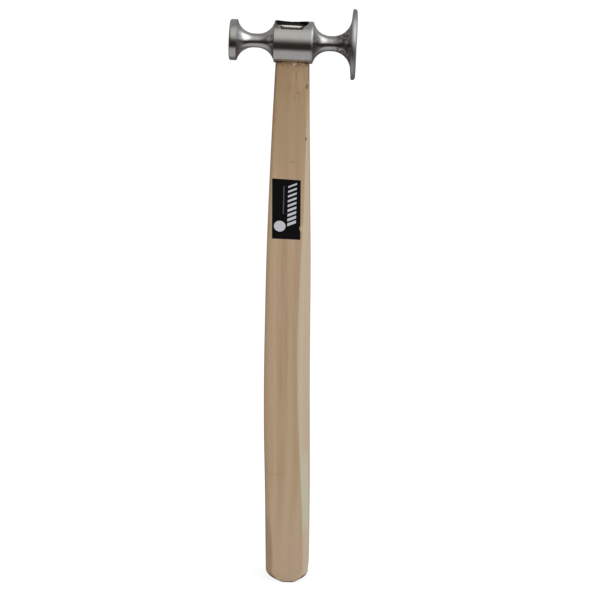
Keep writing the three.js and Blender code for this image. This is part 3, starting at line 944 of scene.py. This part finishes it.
def white_floor():
    material, place = new_material("white floor")
    matt = place.node("ShaderNodeBsdfDiffuse", None, {"Color": (0.8, 0.8, 0.8)})
    soft = place.node("ShaderNodeBsdfDiffuse", None, {"Color": (0.25, 0.25, 0.25)})
    glow = place.node("ShaderNodeEmission", None, {"Color": (1, 1, 1), "Strength": 0.82})
    white = place.node("ShaderNodeAddShader", None, {0: soft, 1: glow})
    shown = place.node("ShaderNodeMixShader", None, {"Fac": white_rays(place), 1: matt, 2: white})
    place.node("ShaderNodeOutputMaterial", None, {"Surface": shown})
    return material


floor_reach = 15.0
floor_mesh = bmesh.new()
floor_mesh.faces.new([
    floor_mesh.verts.new((x * floor_reach, y * floor_reach, 0))
    for x, y in ((-1, -1), (1, -1), (1, 1), (-1, 1))
])
new_object("floor", floor_mesh, white_floor())

world = bpy.data.worlds.new("studio")
world.use_nodes = True
world.node_tree.nodes.clear()
sky = Shade(world.node_tree)
world_light = 0.82
white_light = sky.node("ShaderNodeBackground", None, {
    "Color": (1, 1, 1), "Strength": world_light + white_rays(sky) * (1 - world_light),
})
white_light.node("ShaderNodeOutputWorld", None, {"Surface": white_light})
bpy.context.scene.world = world


def smoked_screen():
    """Nearly clear towards the window, grey behind, and almost black level with the head in front."""
    material, place = new_material("smoked screen")
    aside, depth, height = place.part(0) - eye_x, place.part(1), place.part(2) - axis_z
    away = place.reckon("SQRT", aside * aside + depth * depth)
    degrees = 180 / math.pi
    climb = place.reckon("ARCTAN2", height, away) * degrees
    bearing = place.reckon("ARCTAN2", aside, depth * -1) * degrees

    def spread(middle):
        return place.reckon("ABSOLUTE", bearing - middle)

    above = 0.84 - spread(35).between(45, 150) * 0.4
    beneath = 0.66 - spread(0).between(70, 140) * 0.44
    under_head = climb.between(-30, -12)
    grey = beneath + (above - beneath) * under_head
    front = 1 - spread(-4).between(68, 112)
    band_top = (climb + bearing * 0.16).between(7, 43)
    band_foot = 1 - (climb + bearing * 0.06).between(-38, -17)
    band = front * (1 - band_top) * (1 - band_foot)
    table_edge = climb.span(-34, -25, -16, -6) * (1 - front)
    seen = grey * (1 - band * 0.945) * (1 - table_edge * 0.8) * 0.85
    warm = place.mix_of((1, 0.955, 0.975), (1, 0.975, 0.925), under_head)
    brown = warm.mix((1, 0.86, 0.76), band)
    tint = brown.node("ShaderNodeVectorMath", {"operation": "SCALE"}, {0: brown, "Scale": seen})
    clear = place.node("ShaderNodeBsdfTransparent", None, {"Color": tint})
    place.node("ShaderNodeOutputMaterial", None, {"Surface": clear})
    return material


screen_radius, screen_foot, wall_top, screen_step = 1.2, 0.003, 1.15, 0.06
screen_outline = [(0.01, screen_foot)]
screen_outline += [(screen_step * i, screen_foot) for i in range(1, 20)]
screen_outline += [(screen_radius, screen_foot + screen_step * i) for i in range(1, 20)]
for i in range(1, 18):
    rise = math.pi / 36 * i
    screen_outline.append((screen_radius * math.cos(rise), wall_top + screen_radius * math.sin(rise)))
screen_mesh = bmesh.new()
screen_steps = 120
skin(screen_mesh, [
    [
        screen_mesh.verts.new((
            eye_x + out * math.sin(2 * math.pi * i / screen_steps),
            out * math.cos(2 * math.pi * i / screen_steps), z,
        )) for i in range(screen_steps)
    ] for out, z in screen_outline
], True)
screen = new_object("smoked_screen", screen_mesh, smoked_screen())
screen.visible_camera = False
screen.visible_diffuse = False
screen.visible_shadow = False


def window(size, radiance, azimuth, elevation, distance):
    """A soft-edged lamp that looks at the head, azimuth 0 being the front and 90 the right."""
    data = bpy.data.lights.new("window", "AREA")
    data.shape = "RECTANGLE"
    data.size, data.size_y = size
    data.energy = radiance * math.pi * data.size * data.size_y
    data.color = (0.95, 0.975, 1)
    data.use_nodes = True
    data.node_tree.nodes.clear()
    pane = Shade(data.node_tree).node("ShaderNodeNewGeometry", output="Parametric")
    u, v = pane.part(0) - 0.5, pane.part(1) - 0.5
    out = pane.reckon("SQRT", u * u + v * v)
    glow = pane.node("ShaderNodeEmission", None, {"Strength": 1 - out.between(0.12, 0.5)})
    glow.node("ShaderNodeOutputLight", None, {"Surface": glow})
    lamp = bpy.data.objects.new("window", data)
    bpy.context.scene.collection.objects.link(lamp)
    a, e = math.radians(azimuth), math.radians(elevation)
    away = Vector((math.sin(a) * math.cos(e), -math.cos(a) * math.cos(e), math.sin(e)))
    lamp.location = Vector((eye_x, 0, axis_z)) + away * distance
    lamp.rotation_mode = "QUATERNION"
    lamp.rotation_quaternion = away.to_track_quat("Z", "Y")
    lamp.visible_camera = False


window(size=(2.2, 2.0), radiance=2.12, azimuth=78, elevation=36, distance=1)

# Camera. A long lens, about 1.8 m from the head and 20 degrees above it, held with a slight roll.
# It is placed so that the middle of the head falls on its place in the picture.
picture_size = 600
lens = 180
sensor = 36
picture_scale = 0.59 * mm
head_in_picture = (293.1, 42.05)
view_azimuth = math.radians(2.2)
head_elevation = math.radians(19.5)
camera_roll = math.radians(1.68)

focal = lens / sensor * picture_size
middle = picture_size / 2
pitch = head_elevation + math.atan((middle - head_in_picture[1]) / focal)
back = Vector((
    math.sin(view_azimuth) * math.cos(pitch),
    -math.cos(view_azimuth) * math.cos(pitch),
    math.sin(pitch),
))
level = Vector((math.cos(view_azimuth), math.sin(view_azimuth), 0))
upright = back.cross(level)
right = level * math.cos(camera_roll) + upright * math.sin(camera_roll)
up = upright * math.cos(camera_roll) - level * math.sin(camera_roll)
distance = picture_scale * focal
aside = (head_in_picture[0] - middle) * picture_scale
above = (middle - head_in_picture[1]) * picture_scale
camera_data = bpy.data.cameras.new("camera")
camera_data.lens = lens
camera_data.sensor_width = sensor
camera = bpy.data.objects.new("camera", camera_data)
bpy.context.scene.collection.objects.link(camera)
camera.location = Vector((-handle_bow, 0, axis_z)) - right * aside - up * above + back * distance
camera.rotation_mode = "QUATERNION"
camera.rotation_quaternion = Matrix((right, up, back)).transposed().to_quaternion()
bpy.context.scene.camera = camera
bpy.context.scene.view_settings.view_transform = "Standard"
